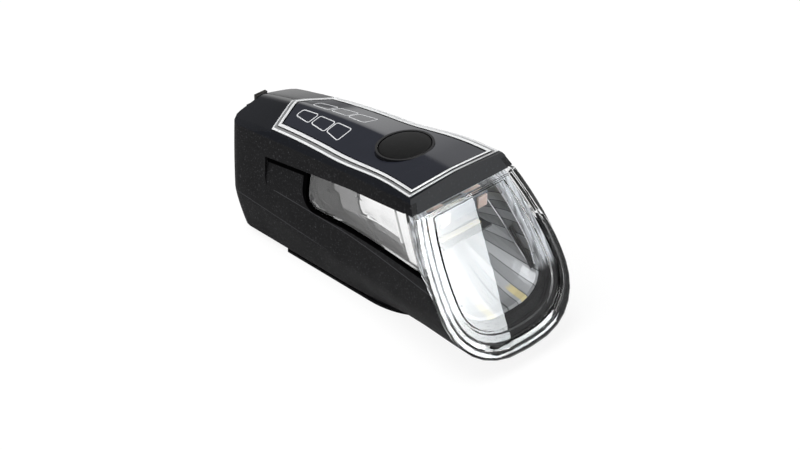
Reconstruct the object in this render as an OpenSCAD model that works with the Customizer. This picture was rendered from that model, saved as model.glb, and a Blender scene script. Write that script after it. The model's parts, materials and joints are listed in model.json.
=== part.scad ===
// Rechargeable bicycle headlight on a slide-in foot.
// X points along the beam, Y to the left of the beam, Z up.
// The origin is the middle of the foot's lower face.

/* [Body] */
// Reach of the body behind the origin
rear_reach = 49; // [48:0.5:52]
// Width of the body at its rear end
rear_w = 28.6; // [27.6:0.2:31]
// Width of the body at the hood
hood_w = 36; // [35:0.2:37]
// Width of the flat underside
base_w = 25.4; // [24.6:0.2:27]
// Height where the side walls start to lean inward
crease_h = 13.5; // [12:0.5:15.5]
// Height of the seam between housing and cover at the rear
seam_rear_h = 34.7; // [34.2:0.1:35.4]
// Height of the seam under the hood
seam_hood_h = 44.5; // [44:0.1:45]
// Wall thickness of the housing and of the cover's edge
wall = 1.8; // [1.5:0.1:2]
// Plan radius of the rear corners
rear_r = 4.5; // [4:0.5:6]
// How far the rear face leans forward at the underside
rear_lean = 3; // [2:0.5:4]
// How far the side walls lean inward on the way up to the hood's seam
side_lean = 1.5; // [1:0.1:1.8]

/* [Cover and panel] */
// Height of the roof ridge above the button
ridge_h = 46.5; // [46.3:0.1:47]
// Fall of the ridge from the button to the rear end
ridge_fall = 8.1; // [7:0.1:8.6]
// Sideways slope of the roof behind the button
roof_slope = 0.25; // [0.2:0.01:0.27]
// Depth of the pocket for the panel and its trim
pocket_d = 0.8; // [0.7:0.1:0.9]
// Thickness of the cover's floor under the pocket
floor_t = 1.3; // [1.1:0.1:1.4]
// Width of the trim at its rear corners
trim_rear_w = 25; // [23:0.2:25.6]
// Width of the trim at its front corners
trim_front_w = 33.6; // [31:0.2:34]
// Width of the bright trim along the sides
trim_t = 2.7; // [2.2:0.1:3]

/* [Button] */
// Button length across the beam
button_w = 16; // [14:0.5:17]
// Button length along the beam
button_l = 12.6; // [11:0.2:13.4]
// Distance of the button in front of the origin
button_x = 9.5; // [9:0.5:11]
// Button travel
button_travel = 0.6; // [0.4:0.1:0.8]

/* [Lens] */
// Reach of the lens face at mid height
lens_reach = 46; // [45:0.5:49]
// Tilt of the lens face from upright
lens_tilt = 33.5; // [32:0.5:35]
// Greatest width of the lens
lens_w = 46.8; // [45:0.2:48]
// Width of the lens outline carried up to the seam
lens_top_w = 35.6; // [34.6:0.2:36.6]
// Height of the lens at its lowest point
lens_low_h = 3.9; // [3.4:0.1:4.6]
// Height of the lens at its top edge
lens_top_h = 41.7; // [41.2:0.1:41.8]
// Thickness of the lens rim that shows in front of the housing
rim_t = 1; // [0.8:0.1:1.4]
// Width of the rim band around the clear front face
band_w = 6.3; // [5.5:0.1:6.6]
// Thickness of the lens plate
lens_t = 2.6; // [2.2:0.1:3]

/* [Foot] */
// Height of the foot below the housing
foot_h = 2.2; // [2:0.1:3]
// Width of the foot
foot_w = 23.6; // [22:0.2:24.4]
// Reach of the foot behind the origin
foot_rear = 27.5; // [26:0.5:30]
// Reach of the foot in front of the origin
foot_front = 26; // [24:0.5:28]
// Depth of the rail groove in each flank of the foot
groove_d = 1.2; // [0.8:0.1:1.6]

/* [Inside] */
// Diameter of the battery cell
cell_d = 18.5; // [18.2:0.1:18.6]
// Length of the battery cell
cell_l = 65; // [64:0.5:65.5]
// Thickness of the circuit board
board_t = 1.6; // [1:0.1:2]
// Height of the circuit board's underside
board_h = 27; // [26.6:0.1:27.4]
// Clearance between pieces that stand side by side
gap = 0.1; // [0.05:0.01:0.15]
// Clearance around moving pieces
play = 0.25; // [0.2:0.01:0.3]

/* [Hidden] */
$fn = 48;

// Shared places
fan_x = 0;                                   // where the sides start to flare towards the lens
kink_x = 20.7;                               // where the sides stop widening behind the hood
seam_x = 26;                                 // where the seam stops rising
ridge_x = 15;                                // where the ridge stops rising
lens_mid_h = 22;                             // height at which lens_reach is measured
lens_wide_h = 20.3;                          // height of the lens's greatest width
lens_flat = 3;                               // straight stretch at the bottom of the lens
side_n = 1.15;                               // fullness of the lower corner at the rear
lens_n = 2.35;                               // fullness of the lens's lower corners
flare_n = 1.7;                               // how late the flare gathers
lens_top_inset = 0.22;                       // share of an inset that the top edge takes
ridge_soft = 1.5;                            // radius that softens the roof ridge
flat_from = -5;                              // where the roof starts to flatten towards the hood
flat_run = 27;                               // distance over which it flattens
flat_share = 0.2;                            // share of its slope that is left at the hood
lean_n = 1.3;                                // how late the rear face starts to lean
tip_half = 0.4;                              // least half width of a section at the rear end
over = 1;                                    // how far a cut runs past the face that it opens
hollow_ahead = 0.002;                        // share by which the hollow's nose runs past the lens rim
n_low = 8;                                   // steps up a section to its widest height
n_up = 7;                                    // steps from there to its top
n_rear = 6;                                  // sections behind the flare
n_nose = 12;                                 // sections of the flare

function lerp(a, b, t) = a + (b - a) * t;
function unit(t) = min(1, max(0, t));
function smooth(t) = unit(t) * unit(t) * (3 - 2 * unit(t));
function flip(p) = [p[0], -p[1], p[2]];
function backward(v) = [for (i = [len(v) - 1 : -1 : 0]) v[i]];
function mirrored(half) = concat(half, [for (p = backward(half)) flip(p)]);

// Reach of the lens face at a height
function lens_x(z) = lens_reach + (lens_mid_h - z) * tan(lens_tilt);

// Front end of the seam
hood_x = lens_x(seam_hood_h) - rim_t;

// Height of the seam at a distance along the beam
function seam_z(x) = min(seam_hood_h, seam_rear_h
    + (x + rear_reach) * (seam_hood_h - seam_rear_h) / (seam_x + rear_reach));

// Half width in plan at seam level
function plan_w(x) = let (start = rear_r - rear_reach)
    lerp(rear_w, hood_w, (x - start) / (kink_x - start)) / 2;

// Half width of a U outline that is widest at mid, with a flat b wide at the bottom
function u_width(z, low, mid, top, a, a_top, b, n) = z < mid
    ? b + (a - b) * pow(1 - pow(1 - unit((z - low) / (mid - low)), n), 1 / n)
    : a - (a - a_top) * pow((z - mid) / (top - mid), 2);

// How far a point has gone from the upright sections to the lens face
function flare(x, z) = pow(unit((x - fan_x) / (lens_x(z) - rim_t - fan_x)), flare_n);

// Half width of the body's side at a place, moved inward by d
function side_y(x, z, d = 0) = let (e = flare(x, z)) u_width(z,
    lerp(foot_h, lens_low_h, e) + d, lerp(crease_h, lens_wide_h, e), seam_hood_h,
    lerp(plan_w(x), lens_w / 2, e) - d, lerp(plan_w(x) - side_lean, lens_top_w / 2, e) - d,
    lerp(base_w, lens_flat, e) / 2 - d * (1 - e), lerp(side_n, lens_n, e));

// Heights of a section from its underside to its top
function levels(low, mid, top) = concat(
    [for (i = [0 : n_low]) lerp(low, mid, 1 - cos(90 * i / n_low))],
    [for (i = [1 : n_up]) lerp(mid, top, i / n_up)]);

// Forward shift of the leaning rear end
function lean(x, z) = z > crease_h ? 0 : rear_lean * unit((fan_x - x) / (fan_x + rear_reach))
    * pow((crease_h - z) / (crease_h - foot_h), lean_n);

// One upright section, with its corner drawn in by c
function upright(x, c, d, rise) = [for (z = levels(foot_h + d, crease_h, seam_z(x) + rise))
    [x + lean(x, z), max(side_y(x, z, d) - c, tip_half), z]];

// One section of the flared nose, k from the upright part to the lens rim
function fanned(k, d, rise) = let (e = pow(unit(k), flare_n), top = seam_z(lerp(fan_x, hood_x, unit(k))))
    [for (z = levels(lerp(foot_h, lens_low_h, e) + d, lerp(crease_h, lens_wide_h, e), top + rise))
        let (x = fan_x + k * (lens_x(z) - rim_t - fan_x)) [x, side_y(x, z, d), z]];

// Sections of the whole body, moved inward by d, its nose lengthened by the share ahead
function body_rows(d, rise, ahead = 0) = let (r = rear_r - d) concat(
    [for (a = [0 : 22.5 : 90]) upright(d - rear_reach + r * (1 - cos(a)), r * (1 - sin(a)), d, rise)],
    [for (i = [1 : n_rear]) upright(lerp(rear_r - rear_reach, fan_x, i / n_rear), 0, d, rise)],
    [for (i = [1 : n_nose]) fanned((1 + ahead) * i / n_nose, d, rise)]);

// Roof height, with a softened ridge that flattens towards the hood
function slope_at(x) = roof_slope * lerp(1, flat_share, smooth((x - flat_from) / flat_run));
function roof_z(x, y) = ridge_h - ridge_fall * pow(max(0, ridge_x - x) / (ridge_x + rear_reach), 2)
    - slope_at(x) * norm([y, ridge_soft]);

// Closed solid whose faces are turned outward
module solid(points, faces) {
    volumes = [for (f = faces) cross(points[f[0]], points[f[1]]) * points[f[2]]];
    six_volumes = volumes * [for (f = faces) 1];
    polyhedron(points, six_volumes < 0 ? faces : [for (f = faces) backward(f)]);
}

// Closed solid through a stack of closed outlines with equal counts of points
module stack(loops) {
    n = len(loops[0]);
    m = len(loops);
    sides = [for (i = [0 : m - 2], j = [0 : n - 1]) each let (a = i * n + j, b = i * n + (j + 1) % n)
        [[a, b, b + n], [a, b + n, a + n]]];
    ends = [for (j = [0 : n / 2 - 2]) each let (k = n - 1 - j, last = (m - 1) * n)
        [[j, k, j + 1], [j + 1, k, k - 1],
         [last + j, last + j + 1, last + k], [last + j + 1, last + k - 1, last + k]]];
    solid([for (l = loops) each l], concat(sides, ends));
}

// Closed ring through outlines that follow the ring's cross-section
module ring(loops) {
    n = len(loops[0]);
    m = len(loops);
    solid([for (l = loops) each l], [for (i = [0 : m - 1], j = [0 : n - 1])
        each let (a = i * n + j, b = i * n + (j + 1) % n, c = ((i + 1) % m) * n)
            [[a, b, c + (j + 1) % n], [a, c + (j + 1) % n, c + j]]]);
}

// Closed plate between two grids of points with equal counts
module slab(top, low) {
    m = len(top);
    n = len(top[0]);
    s = m * n;
    faces = concat(
        [for (i = [0 : m - 2], j = [0 : n - 2]) each let (a = i * n + j, b = a + n)
            [[a, a + 1, b + 1], [a, b + 1, b], [s + a, s + b + 1, s + a + 1], [s + a, s + b, s + b + 1]]],
        [for (i = [0 : m - 2]) each let (a = i * n, b = a + n, c = a + n - 1, d = b + n - 1)
            [[a, b, s + b], [a, s + b, s + a], [d, c, s + d], [c, s + c, s + d]]],
        [for (j = [0 : n - 2]) each let (a = j, b = j + 1, c = s - n + j, d = c + 1)
            [[b, a, s + b], [a, s + a, s + b], [c, d, s + d], [c, s + d, s + c]]]);
    solid(concat([for (r = top) each r], [for (r = low) each r]), faces);
}

// Tube of radius r along a list of points
function cross_at(path, i) = let (a = path[max(0, i - 1)], b = path[min(len(path) - 1, i + 1)],
    t = (b - a) / norm(b - a), u = cross(t, [0.3, 0.2, 0.93]), v = u / norm(u)) [v, cross(t, v)];
module tube(path, r) stack([for (i = [0 : len(path) - 1]) let (c = cross_at(path, i))
    [for (k = [0 : 7]) path[i] + r * (cos(45 * k) * c[0] + sin(45 * k) * c[1])]]);

module oval(l, w, h) linear_extrude(h) polygon([for (a = [0 : 6 : 354]) [l / 2 * cos(a), w / 2 * sin(a)]]);
module box(low, high) translate(low) cube(high - low);
module both_sides() {
    children();
    mirror([0, 1, 0]) children();
}
module across(x, y, z, r, l) translate([x, y, z]) rotate([-90, 0, 0]) cylinder(r = r, h = l);

// Heights that several pieces share
floor_z = foot_h + wall;
board_top = board_h + board_t;
contact = gap / 2;                           // gap between faces that rest on each other

// Band along the side under the seam, and the recess below it
band_rear_x = 17.2 - rear_reach;             // rear end of the recess under the band
band_rear_h = 6.1;                           // height of the band there
band_hood_h = 2.7;                           // height of the band at the hood
recess_d = 1.1;                              // depth of the recess below the band
recess_fade = 0.4;                           // share of that depth left at the hood
recess_low_h = 20.3;                         // height of the recess's lower line at its rear end
recess_rise = 0.02;                          // rise of that line along the beam
recess_foot = 4;                             // how far its rear edge runs forward on the way down
recess_run_in = 0.15;                        // share of its depth by which it starts outside the side
function band_z(x) = lerp(seam_z(band_rear_x) - band_rear_h, seam_hood_h - band_hood_h,
    (x - band_rear_x) / (hood_x - band_rear_x));
function recess_z(x) = recess_low_h + (x - band_rear_x) * recess_rise;
function recess_at(x, z) = recess_d * lerp(1, recess_fade, unit(x / hood_x))
    * ((1 + recess_run_in) * (z - recess_z(x)) / (band_z(x) - recess_z(x)) - recess_run_in);

// Side window
window_x = 36.1 - rear_reach;                // rear edge of the window
window_low_h = 24;                           // height of its lower edge at the rear
window_rise = 0.1;                           // rise of that edge along the beam
window_r = 3.4;                              // radius of its lower rear corner
window_t = 1.5;                              // thickness of the pane
window_gap = 1.2;                            // open joint along its rear and lower edges
mirror_d = 4.4;                              // depth of the mirror tray behind the side
mirror_t = 0.8;                              // thickness of the tray
mirror_fade = 0.75;                          // share of its depth left at the hood
mirror_rim = window_gap + 1;                 // how far the tray's rim reaches past the pane
mirror_end = 7;                              // distance from the lens joint to the tray's front end
joint_low_h = 24.5;                          // height at which the lens cheek starts to grow
joint_run = 6;                               // height over which it grows
joint_grow = 2.6;                            // how far it reaches back there
joint_rise = 0.09;                           // how fast it still grows above that
function window_z(x) = window_low_h + (x - window_x) * window_rise;
function joint_dx(z) = rim_t + joint_grow * smooth((z - joint_low_h) / joint_run)
    + joint_rise * max(0, z - joint_low_h - joint_run);

// Front edge of a grid over the side, at the share v of its height
function front_x(front, low, drop, v, x, tries = 4) = tries == 0 ? x
    : front_x(front, low, drop, v, front(lerp(low(x), band_z(x) - drop, v)), tries - 1);

// Grid over the side, from a rear edge with a round lower corner to a front edge, at a depth
function side_grid(rear, r, front, low, drop, depth, nx = 14, nz = 8) =
    [for (i = [0 : nx]) [for (j = [0 : nz])
        let (v = j / nz, c = unit(1 - v * nz / 3), xr = rear + r * (1 - sqrt(1 - c * c)),
             x = lerp(xr, front_x(front, low, drop, v, kink_x), i / nx),
             z = lerp(low(x), band_z(x) - drop, v))
        [x, side_y(x, z) - depth(x, z), z]]];

// Plate of the window's shape between two depths, its rear and lower edges moved outward and its top down
module side_plate(back, down, drop, near, far, front) {
    low = function (x) window_z(x) - down;
    slab(side_grid(window_x - back, window_r, front, low, drop, near),
         side_grid(window_x - back, window_r, front, low, drop, far));
}

// Cut that makes room for the lens cheek in the housing's front edge
module cheek_cut() {
    face = function (dx) [for (i = [1 : n_up]) let (z = lerp(lens_wide_h, lens_top_h, i / n_up))
        [for (y = [lens_w / 4, lens_w]) [lens_x(z) - dx(z), y, i < n_up ? z : z + contact]]];
    slab(face(function (z) joint_dx(z)), face(function (z) -rim_t));
}

// Cut that sinks the recess into the side, deepest under the band
module recess_cut() {
    front = function (z) lens_x(z) + rim_t;
    low = function (x) recess_z(x);
    slab(side_grid(band_rear_x, recess_foot, front, low, 0, function (x, z) -2 * over, 20),
         side_grid(band_rear_x, recess_foot, front, low, 0, function (x, z) recess_at(x, z), 20));
}

// Charging socket and its flap
flap_w = 11.2;                               // width of the flap
flap_t = 1.8;                                // thickness of the flap
flap_proud = 0.8;                            // how far the flap's outer face lies behind the hinge pin
pin_z = 26;                                  // height of the flap's hinge pin
flap_top = seam_rear_h + 1.8;                // height of the flap's top edge
tab_w = 4.2;                                 // width of the finger tab
tab_out = 0.6;                               // how far the finger tab stands out
tab_up = 1.7;                                // how far the finger tab stands above the flap
tab_root = 1;                                // how far the tab reaches down the flap
tab_in = 0.5;                                // how far it reaches into the flap
pin_r = 0.5;                                 // radius of the hinge pin
knuckle_r = 1;                               // radius of the flap's hinge barrel
ear_t = 1.4;                                 // thickness of the ears that hold the pin
ear_r = knuckle_r + 0.2;                     // radius of those ears
ear_h = 2;                                   // half height of their roots
pin_x = -rear_reach - gap;                   // place of the hinge pin
flap_x = pin_x - flap_proud;                 // outer face of the flap
pocket_x = pin_x + knuckle_r + play;         // floor of the flap's pocket
pocket_half = flap_w / 2 + play;             // half width of the flap's pocket
pin_half = pocket_half + ear_t - gap;        // half length of the hinge pin
backing_t = 1.3;                             // wall behind the pocket's floor
backing_rim = 2;                             // how far that wall reaches past the pocket's sides
backing_low = 3;                             // how far it reaches below the hinge pin
seal_gap = 0.4;                              // clearance between that wall and the seal
socket_w = 8;                                // width of the charging socket
socket_h = 2.8;                              // height of the charging socket
socket_l = 5.6;                              // length of the charging socket
socket_t = 0.4;                              // wall of the charging socket
plug_l = 0.4;                                // how far the flap's plug reaches past the pocket's floor
plug_gap = 0.6;                              // clearance between plug and opening
socket_z = board_top + socket_h / 2;

// Foot screws
screw_x = [-20, 3];
screw_y = 7.8;
screw_r = 1.1;
screw_l = 3.8;                               // length of thread above the foot
head_r = 2.1;
head_h = 1.3;
key_r = 0.85;                                // radius of the hexagon in the heads
head_in = 0.2;                               // how far the heads lie inside the foot
boss_r = 2;
boss_foot = 0.6;                             // how much wider the bosses are at their feet
boss_h = 2.4;

// Battery
cell_lift = 0.7;                             // height of the cell above the floor
cell_x = wall + 5.2 - rear_reach;            // rear end of the cell
cell_z = floor_z + cell_lift + cell_d / 2;
cell_end = cell_x + cell_l;
cap_d = 6;                                   // diameter of the cell's raised end
cap_h = 0.8;                                 // height of that end
cradle_w = 10;
cradle_h = 2.4;
cradle_ends = [4, 17];                       // distances of the cradle's ends from those of the cell
lead_r = 0.55;                               // radius of the leads' insulation

// Button
cup_t = 0.65;                                // wall of the cup around the button
cup_rise = 0.3;                              // height of the cup above the ridge
cup_floor = 1;                               // thickness of the cup's floor
cup_flange = 1;                              // width of the flange under the cover
flange_t = 0.7;                              // thickness of that flange
pad_t = 3.1;                                 // height of the button's flank
pad_crown = 0.5;                             // crown of the button's top
pad_edge = 0.3;                              // radius of the button's edge
stem_r = 1.6;                                // radius of the button's stem
switch_w = 6;
switch_h = 3.5;
plunger_r = 1.7;
plunger_up = 1.2;                            // height of the plunger above the switch
plunger_in = 2.1;                            // length of the plunger inside the switch
cup_top = roof_z(button_x, 0) + cup_rise;
pad_low = cup_top - pad_t;
cup_low = pad_low - button_travel - play - cup_floor;
cup_l = button_l + 2 * (play + cup_t);
cup_w = button_w + 2 * (play + cup_t);
plunger_top = board_top + switch_h + plunger_up;

// Circuit board, and what carries it
board_w = 20;
board_x = pocket_x + backing_t + play;       // rear edge of the board
board_end = button_x + switch_w / 2 + 0.6;   // front edge of the board
ledge_x = [cell_x + 2, window_x - 8];        // rear ends of the ledges under the board
ledge_l = 4;
ledge_y = 8;                                 // distance from the middle to where a ledge would end in a point
ledge_t = [1.2, 4];                          // thickness of a ledge at its lip and at its root
post_x = button_x - 3;                       // rear face of the posts under the board
post_t = 1.6;
post_gap = 0.4;                              // clearance between a post and the cell
post_in = 1.4;                               // distance of a post from the underside's edge
chip_h = 1.2;

// Trim around the panel
trim_apex_x = 12.5 - rear_reach;             // rear point of the trim
trim_rear_x = trim_apex_x + 5.5;             // rear corners of the trim
trim_front_x = hood_x - 1.7;                 // front edge of the trim
rear_share = 0.9;                            // width of the rear band against the sides
front_share = 0.6;                           // width of the front band against the sides
panel_rise = 0.3;                            // height of the panel above the roof
panel_gap = 0.5;                             // open joint between the trim and the panel
trim_rows = 16;                              // steps along the sides of the trim
columns = [-1, -0.75, -0.5, -0.3, -0.15, -0.06, 0, 0.06, 0.15, 0.3, 0.5, 0.75, 1];
function trim_rear(d) = [trim_rear_x + d * rear_share / 2, trim_rear_w / 2 - d];
function trim_front(d) = [trim_front_x - d * front_share, trim_front_w / 2 - d];

// Half width of the trim's outer edge, carried on behind and in front of the trim
function trim_y(x) = lerp(trim_rear_w, trim_front_w, (x - trim_rear_x) / (trim_front_x - trim_rear_x)) / 2;

// Half outline of the trim moved inward by d, from its rear point to its front corner
function trim_side(d) = concat(
    [for (i = [0 : 4]) lerp([trim_apex_x + d * rear_share, 0.2], trim_rear(d), i / 4)],
    [for (i = [1 : trim_rows]) lerp(trim_rear(d), trim_front(d), i / trim_rows)]);

// The area inside that outline, at a height above the roof
function trim_grid(d, h) = [for (p = trim_side(d)) [for (f = columns)
    [p[0], p[1] * f, roof_z(p[0], p[1] * f) + h]]];

// Closed outline of the trim at a height above the roof
function trim_loop(d, h) = let (half = trim_side(d), end = half[len(half) - 1])
    [for (p = concat(half, [for (f = [0.5, 0, -0.5]) [end[0], end[1] * f]],
                     [for (q = backward(half)) [q[0], -q[1]]]))
        [p[0], p[1], roof_z(p[0], p[1]) + h]];

// Indicator marks: three on each side of the ridge, growing towards the button
mark_first = [trim_rear_x + 4.6, 3.4];       // place of the first mark
mark_step = [7.1, 0.7];                      // step from mark to mark
mark_x = [for (i = [0 : 2]) mark_first[0] + mark_step[0] * i];
mark_y = [for (i = [0 : 2]) mark_first[1] + mark_step[1] * i];
mark_led = [1.6, 1, 0.7];                    // size of the small lamp under a mark
guide_r = 1.3;                               // radius of the light guide's posts
shaft_gap = 0.3;                             // clearance of the posts in the cover
guide_z = board_top + 1.4;                   // underside of the light guide's plate
guide_t = 1.2;                               // thickness of that plate
guide_rim = 2.5;                             // how far the plate reaches past the marks
guide_w = 14.8;
guide_foot = [1.4, 12];                      // length and width of the plate's feet

// Lens outline moved inward by d, at dx(z) behind the lens face
function lens_half(d, dx, top) = [for (z = levels(lens_low_h + d, lens_wide_h, top))
    [lens_x(z) - dx(z), u_width(z, lens_low_h + d, lens_wide_h, seam_hood_h,
        lens_w / 2 - d, lens_top_w / 2 - d, lens_flat / 2, lens_n), z]];
function lens_top(d) = lens_top_h - d * lens_top_inset;
function lens_loop(d, t) = mirrored(lens_half(d, function (z) t, lens_top(d)));
rim_r = [0.9, 0.6];                          // width and depth of the lens's round outer edge
step_w = 0.5;                                // width of the step between clear face and rim band
step_d = 0.45;                               // depth of that step
line_in = [2.1, 3.9];                        // insets of the two fine grooves in the rim band
line_w = 0.35;                               // half width of those grooves
line_d = 0.35;                               // depth of those grooves
gasket_t = 0.6;
gasket_d = [3.2, 5.4];                       // insets of the gasket's edges
bezel_d = 2.9;                               // inset of the bezel's outer edge

// Heat sink between the circuit board and the reflector
sink_l = 8;
sink_w = 18;
sink_gap = 0.9;                              // clearance between the sink and the circuit board

// Reflector
mouth_d = band_w + 0.9;                      // inset of the reflector's mouth
mouth_dx = lens_t + 1.6;                     // distance of the mouth behind the lens face
bowl_t = 1.2;                                // thickness of the bowl
bowl_x = board_end + sink_gap + sink_l;      // rear face of the bowl
bowl_low = 27.5;                             // lower edge of the bowl's rear face
bowl_w = 17;                                 // width of the bowl's rear face
bowl_n = 1.6;                                // how late the bowl closes
bowl_rows = 10;
function bowl_row(t, d) = let (top = lens_top(mouth_d) - d, b = pow(t, bowl_n),
    mouth = lens_half(mouth_d + d, function (z) mouth_dx, top),
    rear = levels(bowl_low + d, lerp(bowl_low, top, 0.45), top))
    [for (i = [0 : len(mouth) - 1]) let (m = mouth[i])
        [lerp(m[0], bowl_x + d, t),
         lerp(m[1], min(m[1], bowl_w / 2 - d) * lerp(0.6, 1, unit(i / n_low)), b),
         lerp(m[2], rear[i], b)]];

// Two lamps on a board at the end of the heat sink's tongue
tongue_w = 8;
tongue_t = 3.6;
tongue_gap = 0.9;                            // clearance between the tongue and the bowl's roof
tongue_top = lens_top(mouth_d) - bowl_t - tongue_gap;
tongue_back = 5.4;                           // distance of the tongue's end behind the lens face
tongue_x = lens_x(tongue_top) - tongue_back;
lamp_w = 3.4;
lamp_t = 0.7;
lamp_board_t = 0.9;
lamp_board_w = 19;
lamp_y = 7;                                  // distance of each lamp from the middle
lamp_board_low = 1.2;                        // how far the lamp board hangs below the tongue
lamp_up = -0.8;                              // height of the lamps above the tongue's underside
fin_step = 3.2;
fin_gap = 1.6;
fin_base = 2.4;                              // thickness of the sink's plate in front of the fins
fin_low = cell_z + cell_d / 2 + 0.8;         // lower edge of the fins, clear of the cell
fin_top = tongue_top - 0.6;                  // upper edge of the fins

// Cover
cover_edge = 0.3;                            // least height of the cover's edge above the seam
shoulder_in = 0.3;                           // distance of the cover's steep shoulder from the trim
lip_low = lens_top_h + 0.25;                 // lower edge of the lip above the lens
lip_t = 2;
lip_in = 0.4;                                // how far the lip reaches into the roof
hook_x = [-24, 4];
hook_l = 4.8;
hook_t = 1.3;
hook_h = 2.4;
hook_tip = 0.7;                              // thickness of a hook's end against its root
hook_root = 0.2;                             // height of a hook's root and of its end
hollow_d = 0.9;                              // least depth at which the cover's hollow ends under the seam
hook_in = 1.1;                               // distance of the hooks from the housing wall
seal_w = 0.8;
seal_h = 1.2;
notch_r = 0.5;                               // radius of the flap notch's upper corners

// One row across the cover's roof, which falls steeply outside the trim to the seam at p
function cover_row(p) = let (k = min(trim_y(p[0]) + shoulder_in, p[1] - cover_edge),
    f = unit((p[0] - kink_x) / (hood_x - kink_x)), edge = p[2] + cover_edge)
    [for (q = concat([[-p[1], edge]], [for (c = columns) [c * k, roof_z(p[0], c * k)]], [[p[1], edge]]))
        [p[0] - f * (q[1] - p[2]) * tan(lens_tilt), q[0], q[1]]];

module lower_housing() color("#1b1c1e") difference() {
    union() {
        difference() {
            stack([for (r = body_rows(0, 0)) mirrored(r)]);
            stack([for (r = body_rows(wall, 2 * over, hollow_ahead)) mirrored(r)]);
        }
        // Backing behind the flap's pocket
        box([wall / 2 - rear_reach, -pocket_half - backing_rim, pin_z - backing_low],
            [pocket_x + backing_t, pocket_half + backing_rim, seam_rear_h - seal_h - seal_gap]);
        both_sides() {
            // Screw bosses with a foot on the floor
            for (x = screw_x) translate([x, screw_y, floor_z - wall / 2]) hull() {
                cylinder(r = boss_r, h = boss_h + wall / 2, $fn = 32);
                cylinder(r = boss_r + boss_foot, h = wall / 2 + boss_foot, $fn = 32);
            }
            // Ledges and posts that carry the board
            for (x = ledge_x) hull() for (t = ledge_t)
                box([x, ledge_y + t, board_h - t],
                    [x + ledge_l, side_y(x, board_h) - wall / 2, board_h - contact]);
            box([post_x, cell_d / 2 + post_gap, floor_z - wall / 2],
                [post_x + post_t, base_w / 2 - post_in, board_h - contact]);
            // Ears that hold the flap's pin
            hull() {
                translate([pin_x, pocket_half, pin_z]) rotate([-90, 0, 0])
                    cylinder(r = ear_r, h = ear_t, $fn = 32);
                box([pin_x, pocket_half, pin_z - ear_h], [pocket_x, pocket_half + ear_t, pin_z + ear_h]);
            }
        }
    }
    both_sides() {
        recess_cut();
        side_plate(window_gap, window_gap, 0, function (x, z) -3 * over, function (x, z) mirror_d,
                   function (z) lens_x(z) + rim_t);
        cheek_cut();
        for (x = screw_x) translate([x, screw_y, 0]) cylinder(r = screw_r + gap, h = cell_z);
    }
    // Pocket and hinge hole of the flap, and the charging opening
    box([pin_x - flap_t, -pocket_half, pin_z - knuckle_r - play], [pocket_x, pocket_half, seam_hood_h]);
    across(pin_x, -flap_w, pin_z, pin_r + gap, 2 * flap_w);
    hull() for (y = [-1, 1]) translate([pin_x - over, y * (socket_w - socket_h) / 2, socket_z])
        rotate([0, 90, 0])
            cylinder(r = socket_h / 2 + socket_t, h = pocket_x - pin_x + backing_t + 2 * over, $fn = 32);
}

module top_cover() color("#15161c") {
    seam = [for (r = body_rows(0, 0)) r[len(r) - 1]];
    inside = [for (r = body_rows(wall, 0)) r[len(r) - 1]];
    last = len(seam) - 1;
    difference() {
        union() {
            slab([for (p = seam) cover_row(p)],
                 [for (p = seam) [for (q = cover_row(p)) [p[0], q[1], p[2]]]]);
            // Lip that closes the hood above the lens
            slab(lip_face(0), lip_face(lip_t));
        }
        // Hollow underside
        slab([for (i = [0 : last - 1]) let (p = inside[i]) [for (f = [-1 : 0.125 : 1])
                 [p[0], f * p[1], max(roof_z(p[0], f * p[1]) - pocket_d - floor_t, p[2] - hollow_d)]]],
             [for (i = [0 : last - 1]) let (p = inside[i]) [for (f = [-1 : 0.125 : 1])
                 [p[0], f * p[1], p[2] - over]]]);
        slab(trim_grid(-gap, pocket_d), trim_grid(-gap, -pocket_d));
        // Light shafts under the indicator marks
        both_sides() for (i = [0 : 2]) hull() for (dx = [-1, 1])
            translate([mark_x[i] + dx * guide_r / 2, mark_y[i], board_top])
                cylinder(r = guide_r + shaft_gap, h = ridge_h - board_top, $fn = 32);
        translate([button_x, 0, board_top]) oval(cup_l + 2 * gap, cup_w + 2 * gap, ridge_h - board_top);
        // Notch for the flap, with rounded upper corners
        hull() {
            box([pin_x - flap_t, -pocket_half, pin_z], [pocket_x, pocket_half, flap_top - notch_r]);
            for (y = [-1, 1])
                translate([pin_x - flap_t, y * (pocket_half - notch_r), flap_top + play - notch_r])
                    rotate([0, 90, 0]) cylinder(r = notch_r, h = pocket_x - pin_x + flap_t, $fn = 32);
        }
    }
    // Snap hooks that drop inside the housing
    both_sides() for (x = hook_x) let (z = seam_z(x), y = side_y(x, z) - wall - hook_in,
        root = max(z, roof_z(x + hook_l / 2, y - hook_t / 2) - pocket_d - floor_t)) hull() {
        box([x, y - hook_t * hook_tip, z - hook_h], [x + hook_l, y, z - hook_h + hook_root]);
        box([x, y - hook_t, z - hook_root], [x + hook_l, y, root + hook_root]);
    }
}

// Face of the lip at a depth behind the housing's front edge
function lip_face(t) = [for (i = [0 : 4])
    let (z = lerp(lip_low, seam_hood_h + lip_in, i / 4), x = lens_x(z) - rim_t - t)
    [for (f = [-1 : 0.25 : 1]) [x, f * (side_y(x, z) - wall - gap), z]]];

// Ring that seals the seam, closed behind the hood
module cover_seal() color("#2b2b2b") {
    loop = function (d, h) let (rows = body_rows(d, 0), front = len(rows) - 4)
        mirrored([for (i = [0 : front])
            let (p = rows[i][len(rows[i]) - 1], back = i == front ? d - wall : 0,
                 fall = seam_z(p[0]) - seam_z(p[0] - back))
            [p[0] - back, p[1], p[2] - fall - h]]);
    ring([loop(wall + gap, gap), loop(wall + gap + seal_w, gap),
          loop(wall + gap + seal_w, gap + seal_h), loop(wall + gap, gap + seal_h)]);
}

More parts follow.
